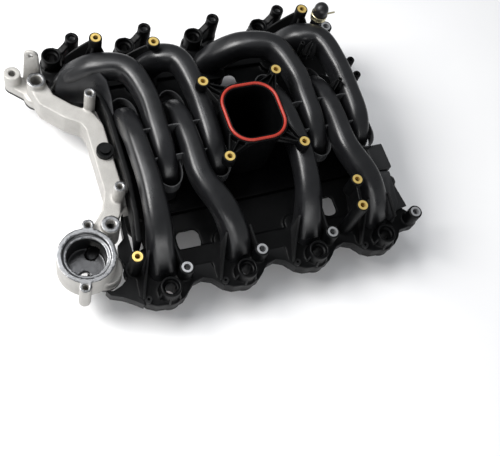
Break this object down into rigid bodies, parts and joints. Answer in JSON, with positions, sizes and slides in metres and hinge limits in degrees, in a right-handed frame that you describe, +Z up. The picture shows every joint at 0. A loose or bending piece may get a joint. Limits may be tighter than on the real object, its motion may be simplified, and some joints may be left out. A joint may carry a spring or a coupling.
{
  "type": "engine intake manifold",
  "caption": "Moulded V8 intake manifold with crossing runners, a central throttle flange and a cast front coolant crossover with a thermostat pocket.",
  "frame": {"origin": "middle of the throttle flange face, where the throttle elbow sits", "axes": "+X towards the rear of the engine, along the crankshaft; +Y towards the far bank; +Z up, out of the throttle opening"},
  "size_m": [0.4895, 0.391, 0.157],
  "materials": {
    "nylon_runners": "glass-filled nylon, satin on the crests",
    "nylon_top": "glass-filled nylon, fine moulded grain",
    "nylon_shell": "glass-filled nylon, dull inside the valley",
    "silicone_seal": "orange-red silicone bead",
    "brass": "turned brass",
    "sleeve_steel": "plain turned steel",
    "cast_aluminium": "as cast, with machined faces",
    "zinc_steel": "zinc plated",
    "gasket_black": "moulded carrier",
    "cap_rubber": "soft black rubber",
    "clamp_steel": "yellow passivated spring steel"
  },
  "bodies": {
    "manifold": {"plenum_tray": "nylon_shell", "plenum_body": "nylon_shell", "throttle_flange": "nylon_top", "head_flange_near": "nylon_shell", "head_flange_far": "nylon_shell", "runner_near_1": "nylon_runners", "runner_near_2": "nylon_runners", "runner_near_3": "nylon_runners", "runner_near_4": "nylon_runners", "runner_far_1": "nylon_runners", "runner_far_2": "nylon_runners", "runner_far_3": "nylon_runners", "runner_far_4": "nylon_runners", "front_rail": "nylon_top", "rear_cover": "nylon_top", "throttle_seal": "silicone_seal", "throttle_inserts": "brass", "accessory_inserts": "brass", "bolt_sleeves_near": "sleeve_steel", "bolt_sleeves_far": "sleeve_steel", "port_gasket_near": "gasket_black", "port_gasket_far": "gasket_black", "port_seals_near": "silicone_seal", "port_seals_far": "silicone_seal", "coolant_crossover": "cast_aluminium", "crossover_screws": "zinc_steel", "coolant_gasket_near": "gasket_black", "coolant_gasket_far": "gasket_black", "coolant_plug": "nylon_top", "insert_posts": "nylon_top", "clip_lugs": "nylon_top", "vacuum_nipple": "nylon_top"},
    "vacuum_cap": {"vacuum_cap": "cap_rubber"},
    "spring_clamp": {"spring_clamp": "clamp_steel"}
  },
  "joints": [
    {"name": "cap_pull", "type": "slide", "parent": "manifold", "child": "vacuum_cap", "axis": [0, 0, 1], "range_m": [0, 0.034]},
    {"name": "clamp_slide", "type": "slide", "parent": "vacuum_cap", "child": "spring_clamp", "axis": [0, 0, 1], "range_m": [0, 0.03]}
  ]
}
